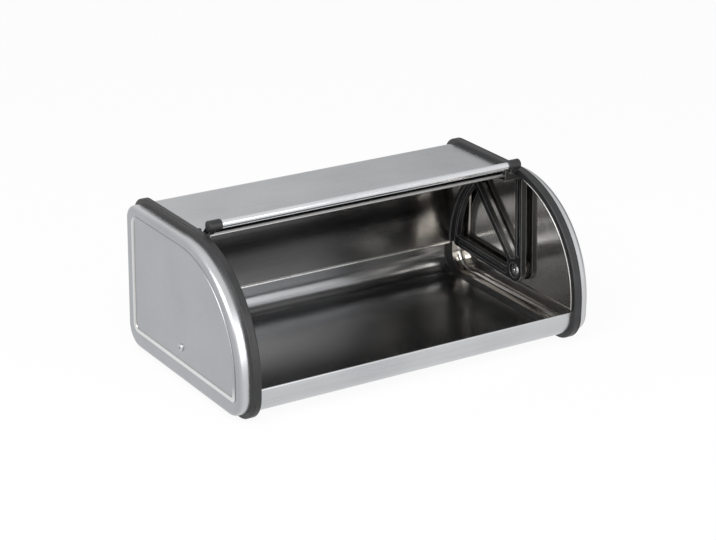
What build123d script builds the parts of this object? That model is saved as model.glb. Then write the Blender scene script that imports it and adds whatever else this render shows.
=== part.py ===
from build123d import *
import os

# Roll-top bread box, lid open. Millimetres. X along the box, Y to the back, Z up.
# The origin is on the table under the middle of the box.

# Side profile shared by the shell, the end caps and the trim rings
length = 445.0            # over the two end cap faces
arc_radius = 124.0        # outside of the sheet metal on the front curve, about the lid pivot
back_reach = 124.0        # from the pivot back to the outside of the back wall
pivot_z = 44.0            # height of the lid pivot
top_back_radius = 16.5
bottom_back_radius = 25.0
bottom_front_radius = 25.0

# Sheet metal
shell_sheet = 0.6
cap_sheet = 0.6
lid_sheet = 0.5
roll_radius = 1.5         # rolled top edge of the front lip
lid_roll_radius = 1.3     # rolled edges of the lid
lid_roll_inset = 0.1      # the rolls lie this far under the sheet's outer face
panel_front = 2.0         # the top panel's front edge lies this far behind the pivot
hem_depth = 7.0           # flat hem under the top panel's front edge
lip_top = 38.0            # top of the front lip

# Trim rings
ring_proud = 5.5          # the ring stands this far out of the sheet metal, all round
ring_width = 10.5
ring_inner_wall = 0.9     # ring wall inside the channels
ring_round = 1.8
ring_groove = 1.0         # shadow groove beside the cap
shell_channel = 5.0       # depth of the channel that holds the shell
cap_channel = 4.0         # depth of the channel that holds the cap rim
channel_gap = 0.1

# End caps
cap_depth = 13.0          # from the ring to the cap face
cap_edge_round = 6.0
bead_width = 4.8
bead_height = 1.2
bead_front_inset = 11.0
bead_back_inset = 18.0
bead_bottom_inset = 21.5
bead_round = 8.0

# Lid
lid_radius = 121.5        # outside of the lid sheet
lid_front_angle = 1.7     # roll of the front edge, in front of vertical
lid_back_angle = -91.6    # roll of the rear edge, behind vertical
lid_into_arm = 5.0        # the sheet's ends stand this far into the arm rims
fit_gap = 0.1             # between pieces of the lid that are pushed together

# Lid arms
arm_wall_gap = 4.4        # between the arm and the inside of the end cap
arm_thickness = 7.0
boss_radius = 14.0
boss_ring_radius = 10.0   # outer end of the boss, against the outer washer
recess_radius = 9.0       # recess for inner washer and nut
rim_inner_radius = 116.0
rim_outer_radius = 122.8
rim_flange = 7.0          # flange under the sheet, towards the middle of the box
rim_flange_thickness = 1.9
spoke_radius = 6.0        # half width of the front and lower spokes
spoke_offset = 7.5        # they leave the boss this far to the side of the pivot
spoke_end_angle = 0.8     # the front one ends this far in front of vertical
spoke_groove = 2.4        # half width of their grooves
middle_spoke_radius = 3.2
spoke_floor = 3.0

# Handle and the end block moulded on each arm
bar_diameter = 8.0
bar_wall = 0.8
bar_reach = 137.5         # from the pivot to the bar
bar_angle = 7.0           # the bar lies this far in front of vertical
bar_socket = 9.0          # depth of the blind sockets in the blocks
block_length = 15.5
block_radius = 6.0
block_round = 1.2
neck_width = 9.2
neck_radius = 4.4
foot_rear_angle = -0.7    # the neck passes the panel edge in front of this angle
foot_front_angle = 2.5    # and the closed lip behind this one
lip_clear_radius = 126.0
panel_clear_radius = 124.4
bridge_rear_angle = -4.6
bridge_inner_radius = 113.5
bridge_outer_radius = 121.4
side_gap = 0.8            # between block and trim ring
notch_gap = 0.4           # between bridge and lid sheet

# Pivot hardware
screw_radius = 2.0
screw_head_radius = 4.25
screw_head_height = 2.2
cross_recess = (3.4, 0.8, 1.2)    # length, width and depth
screw_end = 0.7           # thread standing out of the nut
nut_across_flats = 7.0
nut_height = 3.2
inner_washer_radius = 6.5
outer_washer_radius = 8.0
washer_thickness = 1.0
sleeve_radius = 4.0
running_gap = 0.05        # radial, between sleeve and arm
axial_gap = 0.3
thread_gap = 0.02
hole_gap = 0.2

# Stop bumpers
bumper_radius = 2.3
bumper_stem = 1.2
bumper_height = 3.0
bumper_reach = 1.0        # from the panel's front edge to the bumper

# Places that follow from the sizes above
base_z = ring_proud
pivot_y = (arc_radius - back_reach) / 2
front_y = pivot_y - arc_radius
back_y = pivot_y + back_reach
top_z = pivot_z + arc_radius
cap_x = length / 2
ring_out_x = cap_x - cap_depth
ring_in_x = ring_out_x - ring_width
cap_in_x = cap_x - cap_sheet
arm_out_x = cap_in_x - arm_wall_gap
arm_in_x = arm_out_x - arm_thickness
boss_out_x = cap_in_x - washer_thickness - axial_gap
block_out_x = ring_in_x - side_gap
block_in_x = block_out_x - block_length
neck_in_x = block_out_x - neck_width
neck_out_x = block_out_x - 2 * block_round
lid_end_x = arm_in_x + lid_into_arm
shell_end_x = ring_in_x + shell_channel - channel_gap
recess_floor_x = arm_in_x + arm_thickness - spoke_floor
washer_x = recess_floor_x - axial_gap - washer_thickness
nut_x = washer_x - nut_height
panel_edge_y = pivot_y + panel_front
bumper_x = block_out_x - bumper_radius
bumper_y = panel_edge_y + bumper_reach + bumper_radius


def polar(radius, angle):
    """Point at a radius from the pivot, at an angle in degrees in front of vertical."""
    turned = Vector(0, radius).rotate(Axis.Z, angle)
    return (pivot_y + turned.X, pivot_z + turned.Y)


def side_face(edges):
    """Face in the side view from its closed outline: local X is the box's Y, local Y its Z."""
    return Plane.YZ * make_face(edges)


def slab(face, x0, x1):
    """Side view face pulled from x0 to x1."""
    return Pos(x0, 0, 0) * extrude(face, amount=x1 - x0, dir=(1, 0, 0))


def outline(grow):
    """Side profile of the box, grown outwards all round."""
    front, back = front_y - grow, back_y + grow
    top, bottom = top_z + grow, base_z - grow
    path = FilletPolyline(
        (pivot_y, top), (back, top), (back, bottom), (front, bottom), (front, pivot_z),
        radius=[top_back_radius + grow, bottom_back_radius + grow, bottom_front_radius + grow],
    )
    curve = CenterArc((pivot_y, pivot_z), arc_radius + grow, 90, 90)
    return side_face([*path.edges(), curve])


def wall_path(grow):
    """Run of the shell sheet from the top panel's front to the top of the front lip."""
    front, back = front_y - grow, back_y + grow
    top, bottom = top_z + grow, base_z - grow
    return FilletPolyline(
        (panel_edge_y + shell_sheet, top), (back, top), (back, bottom), (front, bottom),
        (front, lip_top - roll_radius),
        radius=[top_back_radius + grow, bottom_back_radius + grow, bottom_front_radius + grow],
    )


def shell_section(gap=0.0):
    """Cut through the shell sheet, without its rolled edges, widened by a gap."""
    outer, inner = wall_path(gap), wall_path(-shell_sheet - gap)
    ends = [Line(outer @ 0, inner @ 0), Line(outer @ 1, inner @ 1)]
    return side_face([*outer.edges(), *inner.edges(), *ends])


def sector(inner, outer, rear, front):
    """Piece of a ring about the pivot, between two angles in front of vertical."""
    arcs = [CenterArc((pivot_y, pivot_z), r, 90 + rear, front - rear) for r in (inner, outer)]
    ends = [Line(polar(inner, a), polar(outer, a)) for a in (rear, front)]
    return side_face([*arcs, *ends])


def disc(center, radius):
    """Round face in the side view."""
    return side_face([CenterArc(center, radius, 0, 360)])


def tube(center, radius, wall, x0, x1):
    """Rolled edge: a tube along the box."""
    return slab(disc(center, radius), x0, x1) - slab(disc(center, radius - wall), x0, x1)


def link(center_a, radius_a, center_b, radius_b):
    """Tapered link round two centres in the side view."""
    ends = [CenterArc(c, r, 0, 360) for c, r in ((center_a, radius_a), (center_b, radius_b))]
    return Plane.YZ * make_hull(ends)


def pin(radius, x0, x1, center=None):
    """Round bar along X, at the pivot unless another centre is given."""
    return slab(disc(center or (pivot_y, pivot_z), radius), x0, x1)


def body_shell():
    """Back, floor, top panel and front lip bent from one sheet, hemmed and rolled in front."""
    sheet = slab(shell_section(), -shell_end_x, shell_end_x)
    reach = ring_in_x - channel_gap
    lip_roll = (front_y + roll_radius, lip_top - roll_radius)
    sheet += tube(lip_roll, roll_radius, shell_sheet, -reach, reach)
    hem_z = top_z - shell_sheet
    hem_ends = [(panel_edge_y + d, hem_z) for d in (shell_sheet, hem_depth - shell_sheet)]
    sheet += slab(link(hem_ends[0], shell_sheet, hem_ends[1], shell_sheet), -reach, reach)
    hole = Pos(bumper_x, bumper_y, top_z) * Cylinder(bumper_stem + hole_gap / 2, 6)
    return sheet - hole - mirror(hole, Plane.YZ)


def trim_ring():
    """Moulded frame that joins the shell to an end cap and carries the box."""
    ring = slab(outline(ring_proud), ring_in_x, ring_out_x)
    rim = ring.edges().filter_by(lambda e: abs(e.center().X - ring_out_x) < 0.01)
    ring = fillet(rim, ring_round)
    rim = ring.edges().filter_by(lambda e: abs(e.center().X - ring_in_x) < 0.01)
    ring = fillet(rim, ring_round)
    ring -= slab(outline(-shell_sheet - ring_inner_wall), ring_in_x, ring_out_x)
    shadow = slab(outline(ring_proud), ring_out_x - ring_width / 3, ring_out_x - ring_width / 3 + ring_groove)
    ring -= shadow - slab(outline(ring_proud - ring_groove / 2), ring_in_x, ring_out_x)
    ring -= slab(shell_section(channel_gap), ring_in_x, ring_in_x + shell_channel)
    cap_rim = outline(channel_gap) - outline(-cap_sheet - channel_gap)
    return ring - slab(cap_rim, ring_out_x - cap_channel, ring_out_x)


def bead_line(grow):
    """Outline of the bead pressed into the cap face."""
    radius = arc_radius - bead_front_inset + grow
    back = back_y - bead_back_inset + grow
    bottom = base_z + bead_bottom_inset - grow
    corner = bead_round + grow
    path = FilletPolyline(
        (pivot_y, pivot_z + radius), (back, pivot_z + radius), (back, bottom),
        (pivot_y - radius, bottom), (pivot_y - radius, pivot_z),
        radius=[corner, corner, corner / 2],
    )
    return side_face([*path.edges(), CenterArc((pivot_y, pivot_z), radius, 90, 90)])


def end_cap():
    """Deep drawn end of the box with a pressed bead and the hole for the pivot screw."""
    cap = dish(0.0, cap_x, cap_edge_round)
    cap -= dish(cap_sheet, cap_in_x, cap_edge_round - cap_sheet)
    raised = slab(bead_line(bead_width / 2) - bead_line(-bead_width / 2), cap_in_x, cap_x + bead_height)
    crest = raised.edges().filter_by(lambda e: e.center().X > cap_x + bead_height - 0.01)
    raised = fillet(crest, bead_height * 0.9)
    inner = bead_width / 2 - cap_sheet
    hollow = slab(bead_line(inner) - bead_line(-inner), cap_in_x - 1, cap_x + bead_height - cap_sheet)
    cap = cap + raised - hollow
    return cap - pin(screw_radius + hole_gap, cap_in_x - 1, cap_x + 1)


def dish(shrink, face_x, edge_round):
    """Solid of the end cap's outside, or of its inside when shrunk by the sheet."""
    rim_x = ring_out_x - cap_channel + channel_gap
    block = slab(outline(-shrink), rim_x, face_x)
    edge = block.edges().filter_by(lambda e: abs(e.center().X - face_x) < 0.01)
    return fillet(edge, edge_round)


def lid():
    """Curved lid sheet with rolled front and rear edges and notched front corners."""
    sheet = slab(
        sector(lid_radius - lid_sheet, lid_radius, lid_back_angle, lid_front_angle),
        -lid_end_x, lid_end_x,
    )
    front_x = neck_in_x - notch_gap
    notch_face = sector(lid_radius - 5, lid_radius + 5, bridge_rear_angle - 0.2, foot_front_angle + 5)
    notch = slab(notch_face, front_x, cap_x)
    sheet -= notch + mirror(notch, Plane.YZ)
    roll_reach = lid_radius - lid_roll_radius - lid_roll_inset
    rear_x = arm_in_x - rim_flange - fit_gap
    for angle, x in ((lid_front_angle, front_x), (lid_back_angle, rear_x)):
        sheet += tube(polar(roll_reach, angle), lid_roll_radius, lid_sheet, -x, x)
    return sheet


def lid_arm():
    """Moulded sector: boss, three grooved spokes, a rim that holds the lid sheet, handle block."""
    pivot = (pivot_y, pivot_z)
    spoke_reach = rim_inner_radius
    rear = lid_back_angle - 0.6
    under = lid_radius - lid_sheet - fit_gap
    rim = sector(rim_inner_radius, rim_outer_radius, rear, bridge_rear_angle)
    arm = pin(boss_radius, arm_in_x, arm_out_x) + pin(boss_ring_radius, arm_out_x, boss_out_x)
    arm += slab(rim, arm_in_x, arm_out_x)
    middle = link(pivot, middle_spoke_radius, polar(spoke_reach, -45), middle_spoke_radius)
    arm += slab(middle, arm_in_x, arm_out_x)
    spokes = (
        ((pivot_y - spoke_offset, pivot_z + 2), polar(spoke_reach, spoke_end_angle)),
        ((pivot_y - 2, pivot_z - spoke_offset), polar(spoke_reach, -90 - spoke_end_angle)),
    )
    for start, end in spokes:
        arm += slab(link(start, spoke_radius, end, spoke_radius), arm_in_x, arm_out_x)
    for start, end in spokes:
        run = Line(start, end)
        groove = link(run @ 0.16, spoke_groove, run @ 0.93, spoke_groove)
        arm -= slab(groove, arm_in_x, recess_floor_x)
    arm -= slab(sector(under, lid_radius + fit_gap, rear, bridge_rear_angle), arm_in_x, lid_end_x + fit_gap)
    flange = sector(under - rim_flange_thickness, under, rear + 0.8, bridge_rear_angle)
    arm += slab(flange, arm_in_x - rim_flange, arm_in_x)
    arm -= pin(recess_radius, arm_in_x, recess_floor_x)
    arm -= pin(sleeve_radius + running_gap, arm_in_x, boss_out_x)
    return arm + handle_block()


def handle_block():
    """Block with the bar's socket, the neck down past the panel edge and the bridge to the arm."""
    bar = polar(bar_reach, bar_angle)
    block = pin(block_radius, block_in_x, block_out_x, bar)
    block = fillet(block.edges().filter_by(GeomType.CIRCLE), block_round)
    root = polar(bridge_outer_radius - 3, (foot_rear_angle + foot_front_angle) / 2)
    neck = slab(link(bar, neck_radius, root, neck_radius), neck_in_x, neck_out_x)
    ahead = sector(boss_radius, lip_clear_radius, foot_front_angle, 60)
    behind = sector(boss_radius, panel_clear_radius, -60, foot_rear_angle)
    neck -= slab(ahead, neck_in_x, block_out_x) + slab(behind, neck_in_x, block_out_x)
    bridge = sector(bridge_inner_radius, bridge_outer_radius, bridge_rear_angle, foot_front_angle)
    block += neck + slab(bridge, neck_in_x, arm_out_x)
    return block - pin(bar_diameter / 2 + fit_gap, block_in_x, block_in_x + bar_socket, bar)


def handle_bar():
    """Steel tube between the two blocks."""
    reach = block_in_x + bar_socket - fit_gap
    return tube(polar(bar_reach, bar_angle), bar_diameter / 2, bar_wall, -reach, reach)


def pivot_screw():
    """Domed screw through the cap, the washers, the sleeve and the nut."""
    head = pin(screw_head_radius, cap_x, cap_x + screw_head_height)
    crown = head.edges().filter_by(lambda e: abs(e.center().X - cap_x - screw_head_height) < 0.01)
    head = fillet(crown, screw_head_height * 0.8)
    reach, width, depth = cross_recess
    place = Pos(cap_x + screw_head_height - depth / 2, pivot_y, pivot_z)
    head -= place * (Box(depth, reach, width) + Box(depth, width, reach))
    return head + pin(screw_radius, nut_x - screw_end, cap_x)


def pivot_nut():
    """Hexagon nut on the inner end of the screw."""
    hexagon = Pos(pivot_y, pivot_z) * RegularPolygon(nut_across_flats / 2, 6, major_radius=False)
    return slab(Plane.YZ * hexagon, nut_x, washer_x) - pin(screw_radius + thread_gap, nut_x, washer_x)


def inner_washer():
    """Washer that keeps the arm on its sleeve."""
    end_x = washer_x + washer_thickness
    return pin(inner_washer_radius, washer_x, end_x) - pin(screw_radius + hole_gap, washer_x, end_x)


def outer_washer():
    """Washer between the arm's boss and the end cap, round the sleeve."""
    start_x = cap_in_x - washer_thickness
    hole = pin(sleeve_radius + hole_gap / 4, start_x, cap_in_x)
    return pin(outer_washer_radius, start_x, cap_in_x) - hole


def pivot_sleeve():
    """Sleeve round the screw that the arm turns on."""
    start_x = washer_x + washer_thickness
    return pin(sleeve_radius, start_x, cap_in_x) - pin(screw_radius + hole_gap / 2, start_x, cap_in_x)


def stop_bumper():
    """Rubber plug in the corner of the top panel that the handle neck rests on."""
    up = (Align.CENTER, Align.CENTER, Align.MIN)
    down = (Align.CENTER, Align.CENTER, Align.MAX)
    head = Cylinder(bumper_radius, bumper_height, align=up)
    head = fillet(head.edges().group_by(Axis.Z)[-1], bumper_radius * 0.6)
    stem = Cylinder(bumper_stem, 2 * shell_sheet, align=down)
    bulb = Pos(0, 0, -2 * shell_sheet) * Cylinder(bumper_stem + 0.4, 0.6, align=down)
    return Pos(bumper_x, bumper_y, top_z) * (head + stem + bulb)


right_side = {
    "end_cap": end_cap,
    "trim_ring": trim_ring,
    "lid_arm": lid_arm,
    "pivot_screw": pivot_screw,
    "pivot_nut": pivot_nut,
    "inner_washer": inner_washer,
    "outer_washer": outer_washer,
    "pivot_sleeve": pivot_sleeve,
    "stop_bumper": stop_bumper,
}

parts = {"body_shell": body_shell(), "lid_sheet": lid(), "handle_bar": handle_bar()}
for name, make in right_side.items():
    piece = make()
    parts["right_" + name] = piece
    parts["left_" + name] = mirror(piece, Plane.YZ)

os.makedirs("parts", exist_ok=True)
for name, piece in parts.items():
    export_step(piece, f"parts/{name}.step")
    print(name, round(piece.volume, 1), piece.bounding_box().min, piece.bounding_box().max)
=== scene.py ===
from math import cos, radians, sin

import bmesh
import bpy
from mathutils import Matrix, Vector


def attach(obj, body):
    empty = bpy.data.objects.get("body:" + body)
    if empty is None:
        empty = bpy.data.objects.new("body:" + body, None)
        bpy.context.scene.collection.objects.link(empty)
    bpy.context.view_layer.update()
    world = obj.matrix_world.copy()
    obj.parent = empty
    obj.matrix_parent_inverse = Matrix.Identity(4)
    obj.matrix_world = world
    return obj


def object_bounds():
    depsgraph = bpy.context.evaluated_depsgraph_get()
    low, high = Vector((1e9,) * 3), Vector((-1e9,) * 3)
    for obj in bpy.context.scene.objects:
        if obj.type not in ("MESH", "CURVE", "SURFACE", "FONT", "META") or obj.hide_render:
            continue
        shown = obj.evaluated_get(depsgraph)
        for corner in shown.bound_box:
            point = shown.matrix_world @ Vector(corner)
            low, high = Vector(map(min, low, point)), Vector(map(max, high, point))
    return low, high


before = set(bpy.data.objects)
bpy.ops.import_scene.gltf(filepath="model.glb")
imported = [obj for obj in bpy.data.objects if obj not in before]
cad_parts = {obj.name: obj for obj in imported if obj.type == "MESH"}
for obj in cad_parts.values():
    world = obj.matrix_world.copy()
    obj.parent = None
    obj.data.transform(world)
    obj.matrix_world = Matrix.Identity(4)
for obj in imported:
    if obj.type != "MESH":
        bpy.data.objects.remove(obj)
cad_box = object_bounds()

# Lengths are in metres unless a name says otherwise, and angles in degrees

# Camera: a long lens from the left front and above
LENS_MM = 110.83
SENSOR_MM = 36
CAMERA_PLACE = (-1.2152, -1.8889, 0.9769)
CAMERA_TURN = 32.697
CAMERA_DIP = 21.621
CAMERA_ROLL = -0.7316

# Lamps by name: place, size and power in watts. All of them face one point in the box
LAMPS = {
    "key": ((-1.3, -0.9, 1.9), (2.0, 1.5), 34),
    "front": ((0.15, -2.2, 0.82), (1.9, 1.5), 19),
}
LAMP_AIM = (0, 0, 0.1)

# Studio: even light, with a darker side to the right of the box and a little behind it,
# which the top panel mirrors. It starts and is full at these products with the direction
STUDIO_LIGHT = 0.55
DARK_SIDE = (1, 0.3, 0)
DARK_FADE = (0.57, 0.93)
DARK_SHARE = 0.34

# Floor, just under the box, and the share of plain white in what is seen of it
FLOOR_SIZE = 30
FLOOR_GAP = 0.0003
FLOOR_COLOR = (0.93, 0.93, 0.93, 1)
FLOOR_ROUGHNESS = 0.9
FLOOR_GLOSS = 0.1
FLOOR_WHITE = 0.92
WHITE = (1, 1, 1, 1)

# Bright rolled edge of the caps, on an arc about the lid pivot, forward from upright
PIVOT_Z = 0.044
BEAD_X = 0.1987
BEAD_REACH = 0.1226
BEAD_RADIUS = 0.0007
BEAD_ARC = (12.5, 92)
BEAD_SIDES = 12
BEAD_STEPS = 72

# Points inside the box and inside the lid's curve, which tell inner faces from outer ones
INSIDE_BOX = (0, 0, 0.09)
INSIDE_LID = (0, 0, 0.06)

# A painted highlight on the roll at the rear edge of the open lid, in these colours, ends at this height
LID_ROLL_TOP = 0.0421
LID_ROLL_FADE = 0.0003
ROLL_DARK = (0.84, 0.84, 0.83)
ROLL_LIGHT = (0.94, 0.94, 0.93)

# Painted highlights on the caps. Each pair is where the painted highlight starts and where it is full.
# The pressed bead gets a painted highlight on its crest, along the back and the bottom
CREST_X = (0.223, 0.2235)
CREST_BACK = (0.098, 0.107)
CREST_BOTTOM = (0.045, 0.03)
# The drawn flange gets a weaker painted highlight
FLANGE_X = (0.2215, 0.2165)
FLANGE_SHARE = 0.52

# Edges of the mouldings painted paler as painted highlights: their width, and the products
# of the rounded and the flat normal at which an edge is fully painted and not painted
EDGE_WIDTH = 0.0009
EDGE_SAMPLES = 6
EDGE_TURN = (0.82, 0.99)

# The ranges of a noise, of two noises mixed, and of the rub marks that a colour follows
NOISE_RANGE = (0.3, 0.7)
MIXED_RANGE = (0.1, 0.9)
RUB_RANGE = (0.35, 0.75)

PLASTIC_IOR = 1.49


def add_node(tree, kind, inputs=None, **settings):
    """New shader node; an input is a value or the output of another node."""
    node = tree.nodes.new("ShaderNode" + kind)
    for setting, value in settings.items():
        setattr(node, setting, value)
    for socket, value in (inputs or {}).items():
        if isinstance(value, bpy.types.NodeSocket):
            tree.links.new(value, node.inputs[socket])
        else:
            node.inputs[socket].default_value = value
    return node


def shaded(color, share):
    """A colour times a share."""
    return tuple(channel * share for channel in color)


class Finish:
    """A principled material with short calls for the textures that drive it.

    Its roughness is a pair: smoothest and roughest.
    """

    def __init__(self, name, color, metallic, roughness):
        self.material = bpy.data.materials.new(name)
        self.material.use_nodes = True
        self.tree = self.material.node_tree
        self.shader = self.tree.nodes["Principled BSDF"]
        self.shader.inputs["Base Color"].default_value = (*color, 1)
        self.shader.inputs["Metallic"].default_value = metallic
        self.shader.inputs["Roughness"].default_value = sum(roughness) / 2
        coordinates = self.node("TexCoord")
        self.place = coordinates.outputs["Object"]
        self.normal = coordinates.outputs["Normal"]
        self.height = None

    def node(self, kind, inputs=None, **settings):
        """New node in this material."""
        return add_node(self.tree, kind, inputs, **settings)

    def drive(self, socket, value):
        """Let a value drive a socket of the shader."""
        self.tree.links.new(value, self.shader.inputs[socket])
        return value

    def noise(self, grains, detail, rough):
        """Noise with the given number of grains per metre along each axis."""
        mapping = self.node("Mapping", {"Vector": self.place, "Scale": grains})
        inputs = {"Vector": mapping.outputs["Vector"], "Scale": 1, "Detail": detail, "Roughness": rough}
        return self.node("TexNoise", inputs).outputs["Fac"]

    def spread(self, value, low, high, edge=NOISE_RANGE):
        """Map a value from the edge range to low..high."""
        inputs = {"Value": value, "From Min": edge[0], "From Max": edge[1], "To Min": low, "To Max": high}
        return self.node("MapRange", inputs).outputs["Result"]

    def combine(self, operation, first, second):
        """Result of an operation on two values."""
        return self.node("Math", {0: first, 1: second}, operation=operation).outputs["Value"]

    def add(self, first, second):
        """Sum of two values."""
        return self.combine("ADD", first, second)

    def mixed(self, first, second):
        """Two noises in equal shares."""
        return self.add(self.spread(first, 0.0, 0.5), self.spread(second, 0.0, 0.5))

    def axes(self):
        """Object coordinates, one output for each axis."""
        return self.node("SeparateXYZ", {"Vector": self.place}).outputs

    def turned(self, first, second):
        """Dot product of two directions."""
        return self.node("VectorMath", {0: first, 1: second}, operation="DOT_PRODUCT").outputs["Value"]

    def tint(self, value, dark, light, edge=NOISE_RANGE):
        """Colour between dark and light over the edge range of a value."""
        ramp = self.node("ValToRGB", {"Fac": value})
        stops = ramp.color_ramp.elements
        stops[0].position, stops[1].position = edge
        stops[0].color, stops[1].color = (*dark, 1), (*light, 1)
        return self.drive("Base Color", ramp.outputs["Color"])

    def blend_color(self, value, first, second):
        """First colour where the value is 0, second where it is 1."""
        mix = self.node("Mix", {"Factor": value, "A": first, "B": second}, data_type="RGBA")
        return self.drive("Base Color", mix.outputs["Result"])

    def outward(self, inside_point):
        """1 on faces that look away from a point inside the box, 0 on its inner faces."""
        offset = self.node("VectorMath", {0: self.place, 1: inside_point}, operation="SUBTRACT")
        facing = self.turned(offset.outputs["Vector"], self.normal)
        return self.combine("GREATER_THAN", facing, 0)

    def edges(self):
        """Near 1 on convex and concave edges, 0 on flat faces."""
        soft = self.node("Bevel", {"Radius": EDGE_WIDTH}, samples=EDGE_SAMPLES)
        sharp = self.node("NewGeometry")
        turn = self.turned(soft.outputs["Normal"], sharp.outputs["Normal"])
        return self.spread(turn, 1.0, 0.0, EDGE_TURN)

    def rubbed_places(self):
        """Where highlights are painted: 1 on the crest of the pressed bead near the back and the bottom,
        less on the flange.
        """
        axes = self.axes()
        distance = self.node("Math", {0: axes["X"]}, operation="ABSOLUTE").outputs["Value"]
        out = self.spread(distance, 0.0, 1.0, CREST_X)
        back = self.spread(axes["Y"], 0.0, 1.0, CREST_BACK)
        bottom = self.spread(axes["Z"], 0.0, 1.0, CREST_BOTTOM)
        crest = self.combine("MULTIPLY", out, self.combine("MAXIMUM", back, bottom))
        flange = self.spread(distance, 0.0, FLANGE_SHARE, FLANGE_X)
        return self.combine("MAXIMUM", crest, flange)

    def below(self, height, fade):
        """1 on the part of a piece below a height, 0 above it and its fade."""
        return self.spread(self.axes()["Z"], 1.0, 0.0, (height, height + fade))

    def emboss(self, value, depth_mm, strength):
        """Let a value raise the surface by a depth in millimetres."""
        inputs = {"Height": value, "Distance": depth_mm / 1000, "Strength": strength}
        if self.height:
            inputs["Normal"] = self.height
        self.height = self.drive("Normal", self.node("Bump", inputs).outputs["Normal"])


def brushed_steel(
    name, dark, light, roughness, inner_shade, inner_rough, inside_point, depth_mm, roll_top=None
):
    """Steel sheet with brush lines and faint clouds, smoother on its inner face and darker there as painted
    shade.

    A rolled edge below roll_top gets a painted highlight.
    """
    steel = Finish(name, light, 1.0, roughness)
    lines = steel.noise(grains=(5, 1500, 1500), detail=4.0, rough=0.7)
    coarse = steel.noise(grains=(10, 300, 300), detail=2.0, rough=0.5)
    clouds = steel.noise(grains=(9, 14, 14), detail=3.0, rough=0.5)
    tone = steel.mixed(lines, clouds)
    outside = steel.tint(tone, dark, light, MIXED_RANGE)
    # Painted shade: the inner face is darkened in colour
    inside = steel.tint(tone, shaded(dark, inner_shade), shaded(light, inner_shade), MIXED_RANGE)
    away = steel.outward(inside_point)
    face = steel.blend_color(away, inside, outside)
    # Painted highlight: the rolled edge is lightened in colour
    if roll_top:
        roll_highlight = steel.tint(tone, ROLL_DARK, ROLL_LIGHT, MIXED_RANGE)
        steel.blend_color(steel.below(roll_top, LID_ROLL_FADE), face, roll_highlight)
    grain = steel.add(steel.spread(coarse, *roughness), steel.spread(clouds, low=-0.02, high=0.02))
    smoother = steel.spread(away, inner_rough, 0.0, edge=(0, 1))
    steel.drive("Roughness", steel.add(grain, smoother))
    steel.emboss(lines, depth_mm, strength=0.35)
    return steel.material


def satin_steel(name, dark, light, rubbed, roughness, inner, inner_rough, inside_point):
    """Drawn sheet with a fine even grain, faint clouds and slight waviness, smoother inside, with painted
    highlights on the bead crest and the flange.
    """
    steel = Finish(name, light, 1.0, roughness)
    grain = steel.noise(grains=(1800, 260, 1800), detail=4.0, rough=0.65)
    clouds = steel.noise(grains=(10, 16, 16), detail=3.0, rough=0.5)
    wave = steel.noise(grains=(8, 8, 8), detail=1.0, rough=0.3)
    tone = steel.mixed(grain, clouds)
    outside = steel.tint(tone, dark, light, MIXED_RANGE)
    # Painted light with a warm painted reflection: the inner face is paler and warmer than the outer one
    inside = steel.tint(clouds, shaded(inner, share=0.9), inner)
    # Painted highlight: the bead crest and the flange are lightened in colour
    bright = steel.tint(tone, shaded(rubbed, share=0.85), rubbed, MIXED_RANGE)
    face = steel.blend_color(steel.rubbed_places(), outside, bright)
    away = steel.outward(inside_point)
    steel.blend_color(away, inside, face)
    smoother = steel.spread(away, inner_rough, 0.0, edge=(0, 1))
    steel.drive("Roughness", steel.add(steel.spread(clouds, *roughness), smoother))
    steel.emboss(wave, depth_mm=0.25, strength=0.4)
    steel.emboss(grain, depth_mm=0.004, strength=0.5)
    return steel.material


def moulded_plastic(name, dark, light, roughness, edge_tone=None):
    """Moulded plastic with a fine spark texture, slight rub marks and edges painted paler as painted
    highlights.
    """
    plastic = Finish(name, light, 0.0, roughness)
    plastic.shader.inputs["IOR"].default_value = PLASTIC_IOR
    grain = plastic.noise(grains=(1600, 1600, 1600), detail=2.0, rough=0.5)
    rubs = plastic.noise(grains=(35, 60, 60), detail=4.0, rough=0.6)
    body = plastic.tint(rubs, dark, light, RUB_RANGE)
    # Painted highlight: the edges are lightened in colour
    if edge_tone:
        pale = plastic.tint(rubs, shaded(edge_tone, share=0.8), edge_tone)
        plastic.blend_color(plastic.edges(), body, pale)
    fine = plastic.spread(grain, low=-0.03, high=0.03)
    plastic.drive("Roughness", plastic.add(plastic.spread(rubs, *roughness), fine))
    plastic.emboss(grain, depth_mm=0.03, strength=0.35)
    return plastic.material


def bright_steel(name, color, roughness, grains):
    """Plated steel with fine polishing lines."""
    steel = Finish(name, color, 1.0, roughness)
    lines = steel.noise(grains, detail=3.0, rough=0.6)
    steel.tint(lines, shaded(color, share=0.88), color)
    steel.drive("Roughness", steel.spread(lines, *roughness))
    steel.emboss(lines, depth_mm=0.003, strength=0.4)
    return steel.material


# Grains per metre of the polishing lines, along the bar and even on small parts
BAR_LINES = (30, 900, 900)
EVEN_LINES = (900, 900, 900)

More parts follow.
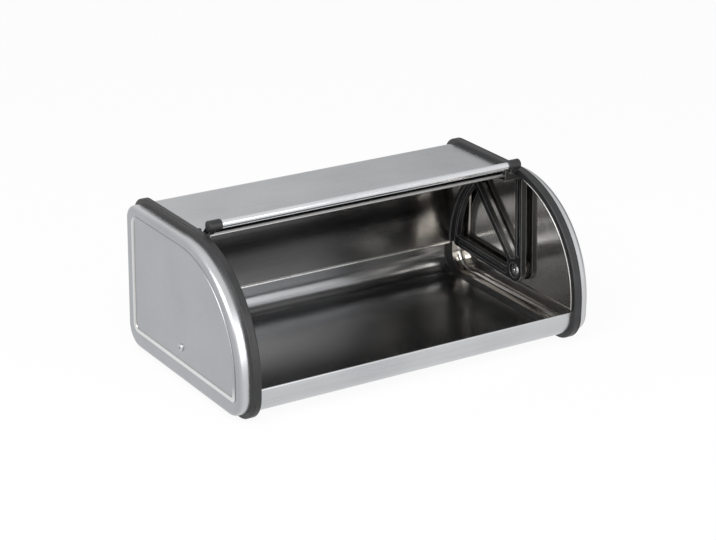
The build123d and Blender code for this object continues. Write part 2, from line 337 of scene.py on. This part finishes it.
# One finish for each kind of piece, the same on the left and the right
finishes = {
    "body_shell": brushed_steel(
        "shell brushed", dark=(0.45, 0.457, 0.47), light=(0.58, 0.587, 0.6), roughness=(0.27, 0.33),
        inner_shade=0.62, inner_rough=-0.09, inside_point=INSIDE_BOX, depth_mm=0.005,
    ),
    "lid_sheet": brushed_steel(
        "lid sheet", dark=(0.34, 0.335, 0.33), light=(0.44, 0.435, 0.43), roughness=(0.2, 0.25),
        inner_shade=0.55, inner_rough=-0.03, inside_point=INSIDE_LID, depth_mm=0.003,
        roll_top=LID_ROLL_TOP,
    ),
    "end_cap": satin_steel(
        "cap satin", dark=(0.36, 0.365, 0.382), light=(0.43, 0.436, 0.454),
        # Colour of the painted highlight on the bead crest and the flange
        rubbed=(0.76, 0.765, 0.77), roughness=(0.27, 0.34),
        # Inner colour: painted light with a warm painted reflection
        inner=(0.84, 0.805, 0.755), inner_rough=-0.16, inside_point=INSIDE_BOX,
    ),
    "trim_ring": moulded_plastic(
        "ring plastic", dark=(0.012, 0.012, 0.013), light=(0.022, 0.022, 0.024),
        roughness=(0.38, 0.5), edge_tone=(0.07, 0.07, 0.073),
    ),
    "lid_arm": moulded_plastic(
        "arm plastic", dark=(0.008, 0.008, 0.009), light=(0.016, 0.016, 0.017),
        roughness=(0.34, 0.46), edge_tone=(0.6, 0.6, 0.6),
    ),
    "handle_bar": bright_steel("bar steel", (0.72, 0.73, 0.75), (0.12, 0.22), BAR_LINES),
    "pivot_screw": bright_steel("screw steel", (0.55, 0.55, 0.56), (0.2, 0.3), EVEN_LINES),
    "pivot_nut": bright_steel("nut steel", (0.75, 0.74, 0.72), (0.2, 0.3), EVEN_LINES),
    "inner_washer": bright_steel("washer steel", (0.68, 0.68, 0.68), (0.2, 0.32), EVEN_LINES),
    "outer_washer": moulded_plastic("washer nylon", (0.55, 0.54, 0.5), (0.68, 0.67, 0.62), (0.4, 0.5)),
    "pivot_sleeve": moulded_plastic("sleeve nylon", (0.55, 0.54, 0.5), (0.68, 0.67, 0.62), (0.4, 0.5)),
    "stop_bumper": moulded_plastic("bumper rubber", (0.01, 0.01, 0.01), (0.018, 0.018, 0.018), (0.6, 0.75)),
}
for name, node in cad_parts.items():
    kind = name.replace("left_", "").replace("right_", "")
    for slot in node.material_slots:
        slot.material = finishes[kind]


def ring_edge_bead(side):
    """Bright rolled edge of the cap along the front curve, inside the trim ring."""
    bead = bmesh.new()
    upright = Matrix.Rotation(radians(90), 4, "X")
    start = Matrix.Rotation(radians(BEAD_ARC[0]), 4, "X")
    place = Matrix.Translation((side * BEAD_X, 0, BEAD_REACH))
    bmesh.ops.create_circle(
        bead, segments=BEAD_SIDES, radius=BEAD_RADIUS, matrix=start @ place @ upright
    )
    bmesh.ops.spin(
        bead, geom=bead.edges[:] + bead.verts[:], cent=(0, 0, 0), axis=(1, 0, 0),
        angle=radians(BEAD_ARC[1] - BEAD_ARC[0]), steps=BEAD_STEPS,
    )
    bmesh.ops.holes_fill(bead, edges=bead.edges, sides=0)
    bmesh.ops.translate(bead, verts=bead.verts, vec=(0, 0, PIVOT_Z))
    bmesh.ops.recalc_face_normals(bead, faces=bead.faces)
    for face in bead.faces:
        face.smooth = len(face.verts) == 4
    mesh = bpy.data.meshes.new("ring edge bead")
    bead.to_mesh(mesh)
    bead.free()
    mesh.materials.append(finishes["pivot_nut"])
    name = ("left" if side < 0 else "right") + "_edge_bead"
    piece = bpy.data.objects.new(name, mesh)
    bpy.context.collection.objects.link(piece)
    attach(piece, "box")


for side in (-1, 1):
    ring_edge_bead(side)


def white_where_seen(tree, lit, white, share):
    """Mix a share of a white shader into a lit one for camera, glossy and transmission rays."""
    path = add_node(tree, "LightPath")
    seen = path.outputs["Is Camera Ray"]
    for ray in ("Is Glossy Ray", "Is Transmission Ray"):
        either = add_node(tree, "Math", {0: seen, 1: path.outputs[ray]}, operation="MAXIMUM")
        seen = either.outputs["Value"]
    weight = add_node(tree, "Math", {0: seen, 1: share}, operation="MULTIPLY")
    mix = add_node(tree, "MixShader", {"Fac": weight.outputs["Value"], 1: lit, 2: white.outputs[0]})
    return mix.outputs["Shader"]


def make_floor():
    """Plain pale floor, large enough to fill the view."""
    place = (0, 0, cad_box[0][2] - FLOOR_GAP)
    bpy.ops.mesh.primitive_plane_add(size=FLOOR_SIZE, location=place)
    floor = bpy.context.object
    floor.name = "floor"
    material = bpy.data.materials.new("floor pale")
    material.use_nodes = True
    tree = material.node_tree
    shader = tree.nodes["Principled BSDF"]
    shader.inputs["Base Color"].default_value = FLOOR_COLOR
    shader.inputs["Roughness"].default_value = FLOOR_ROUGHNESS
    shader.inputs["Specular IOR Level"].default_value = FLOOR_GLOSS
    white = add_node(tree, "Emission", {"Color": WHITE})
    surface = white_where_seen(tree, shader.outputs["BSDF"], white, FLOOR_WHITE)
    tree.links.new(surface, tree.nodes["Material Output"].inputs["Surface"])
    floor.data.materials.append(material)


def make_world():
    """Even soft light all round, white where it is seen, and darker on one side where mirrored."""
    world = bpy.data.worlds.new("studio")
    bpy.context.scene.world = world
    world.use_nodes = True
    tree = world.node_tree
    soft = tree.nodes["Background"]
    soft.inputs["Color"].default_value = WHITE
    soft.inputs["Strength"].default_value = STUDIO_LIGHT
    direction = add_node(tree, "TexCoord").outputs["Generated"]
    toward = add_node(tree, "VectorMath", {0: direction, 1: DARK_SIDE}, operation="DOT_PRODUCT")
    fade = add_node(tree, "MapRange", {
        "Value": toward.outputs["Value"], "From Min": DARK_FADE[0], "From Max": DARK_FADE[1],
        "To Min": 1.0, "To Max": DARK_SHARE,
    })
    seen = add_node(tree, "LightPath").outputs["Is Camera Ray"]
    level = add_node(tree, "Math", {0: fade.outputs["Result"], 1: seen}, operation="MAXIMUM")
    white = add_node(tree, "Background", {"Color": WHITE, "Strength": level.outputs["Value"]})
    surface = white_where_seen(tree, soft.outputs[0], white, 1)
    tree.links.new(surface, tree.nodes["World Output"].inputs["Surface"])


def make_lamp(name, place, size, power):
    """Rectangular soft lamp that faces the box."""
    lamp = bpy.data.lights.new(name, "AREA")
    lamp.shape = "RECTANGLE"
    lamp.size, lamp.size_y = size
    lamp.energy = power
    holder = bpy.data.objects.new(name, lamp)
    holder.location = place
    toward = Vector(LAMP_AIM) - Vector(place)
    holder.rotation_euler = toward.to_track_quat("-Z", "Y").to_euler()
    bpy.context.collection.objects.link(holder)


def make_camera():
    """Camera at the photograph's viewing angle."""
    turn, dip, roll = radians(CAMERA_TURN), radians(CAMERA_DIP), radians(CAMERA_ROLL)
    forward = Vector((sin(turn) * cos(dip), cos(turn) * cos(dip), -sin(dip)))
    level_right = Vector((cos(turn), -sin(turn), 0))
    level_down = forward.cross(level_right)
    right = cos(roll) * level_right + sin(roll) * level_down
    down = -sin(roll) * level_right + cos(roll) * level_down
    axes = Matrix((right, -down, -forward)).transposed().to_4x4()
    lens = bpy.data.cameras.new("camera")
    lens.lens = LENS_MM
    lens.sensor_width = SENSOR_MM
    camera = bpy.data.objects.new("camera", lens)
    camera.matrix_world = Matrix.Translation(CAMERA_PLACE) @ axes
    bpy.context.collection.objects.link(camera)
    bpy.context.scene.camera = camera


make_floor()
make_world()
for name, (place, size, power) in LAMPS.items():
    make_lamp(name, place, size, power)
make_camera()
bpy.context.scene.view_settings.view_transform = "Standard"
